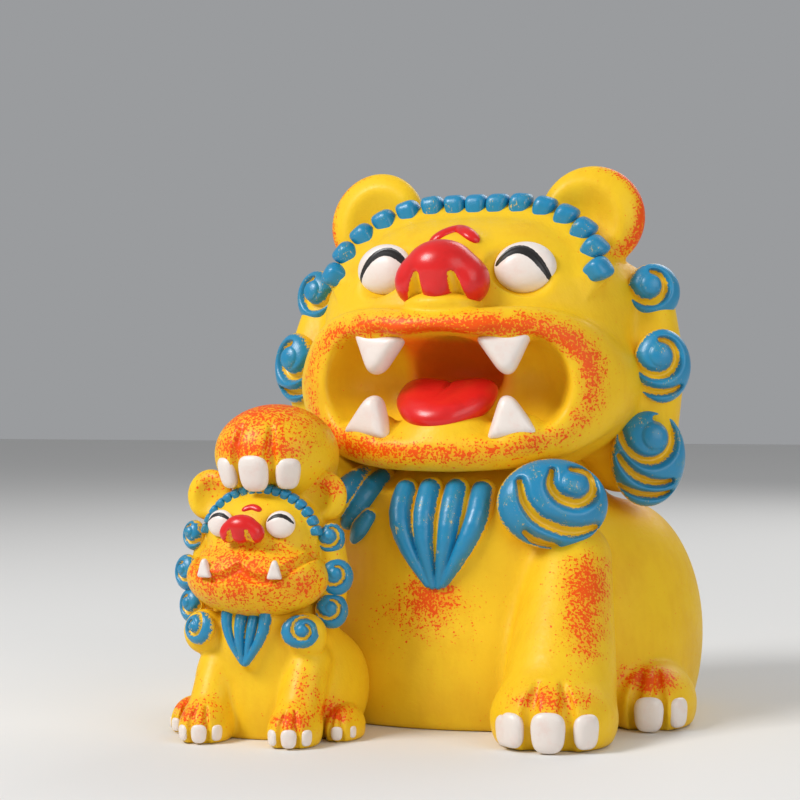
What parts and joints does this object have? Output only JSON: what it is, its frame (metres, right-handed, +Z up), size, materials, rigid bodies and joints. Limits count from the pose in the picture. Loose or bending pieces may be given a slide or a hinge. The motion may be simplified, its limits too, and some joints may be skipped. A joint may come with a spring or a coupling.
{
  "type": "guardian lion figurine",
  "caption": "Seated guardian lion ornament with a laughing open mouth, a mane of rolled curls and one raised paw that rests on the head of its cub, in painted cast resin.",
  "frame": {"origin": "the middle of the lion's flat base, on the surface that the ornament stands on", "axes": "+Z up, the lion looks along -Y, and its cub sits at -X, on the lion's own right"},
  "size_m": [0.1189, 0.1189, 0.1405],
  "materials": {
    "yellow_paint": "warm yellow satin paint on cast resin, with orange spray spatter on the raised places",
    "blue_paint": "cerulean blue satin paint brushed over the ridges of the curls, yellow left in the grooves",
    "red_paint": "bright red glossy paint",
    "white_paint": "warm off-white satin paint"
  },
  "bodies": {
    "root": {"torso": "yellow_paint", "head": "yellow_paint", "left_foreleg": "yellow_paint", "right_foreleg": "yellow_paint", "left_hind_leg": "yellow_paint", "right_hind_leg": "yellow_paint", "ear_left": "yellow_paint", "ear_right": "yellow_paint", "cub_body": "yellow_paint", "cub_head": "yellow_paint", "cub_ear_left": "yellow_paint", "cub_ear_right": "yellow_paint", "mane_curl_left_1": "blue_paint", "mane_curl_left_2": "blue_paint", "mane_curl_left_3": "blue_paint", "mane_curl_right_1": "blue_paint", "mane_curl_right_2": "blue_paint", "mane_curl_right_3": "blue_paint", "nape_curls": "blue_paint", "chest_lock": "blue_paint", "shoulder_lock": "blue_paint", "shoulder_curl": "blue_paint", "tail": "blue_paint", "brow_row": "blue_paint", "cub_brow_row": "blue_paint", "cub_mane_left": "blue_paint", "cub_mane_right": "blue_paint", "cub_chest_curl_left": "blue_paint", "cub_chest_curl_right": "blue_paint", "cub_chest_lock": "blue_paint", "nose": "red_paint", "brow_mark": "red_paint", "tongue": "red_paint", "cub_nose": "red_paint", "cub_brow_mark": "red_paint", "eye_left": "white_paint", "eye_right": "white_paint", "upper_fang_left": "white_paint", "upper_fang_right": "white_paint", "lower_fang_left": "white_paint", "lower_fang_right": "white_paint", "left_paw_claw_inner": "white_paint", "left_paw_claw_middle": "white_paint", "left_paw_claw_outer": "white_paint", "right_paw_claw_inner": "white_paint", "right_paw_claw_middle": "white_paint", "right_paw_claw_outer": "white_paint", "left_foot_claw_inner": "white_paint", "left_foot_claw_middle": "white_paint", "left_foot_claw_outer": "white_paint", "right_foot_claw_inner": "white_paint", "right_foot_claw_middle": "white_paint", "right_foot_claw_outer": "white_paint", "cub_eye_left": "white_paint", "cub_eye_right": "white_paint", "cub_fang_left": "white_paint", "cub_fang_right": "white_paint"}
  },
  "joints": []
}
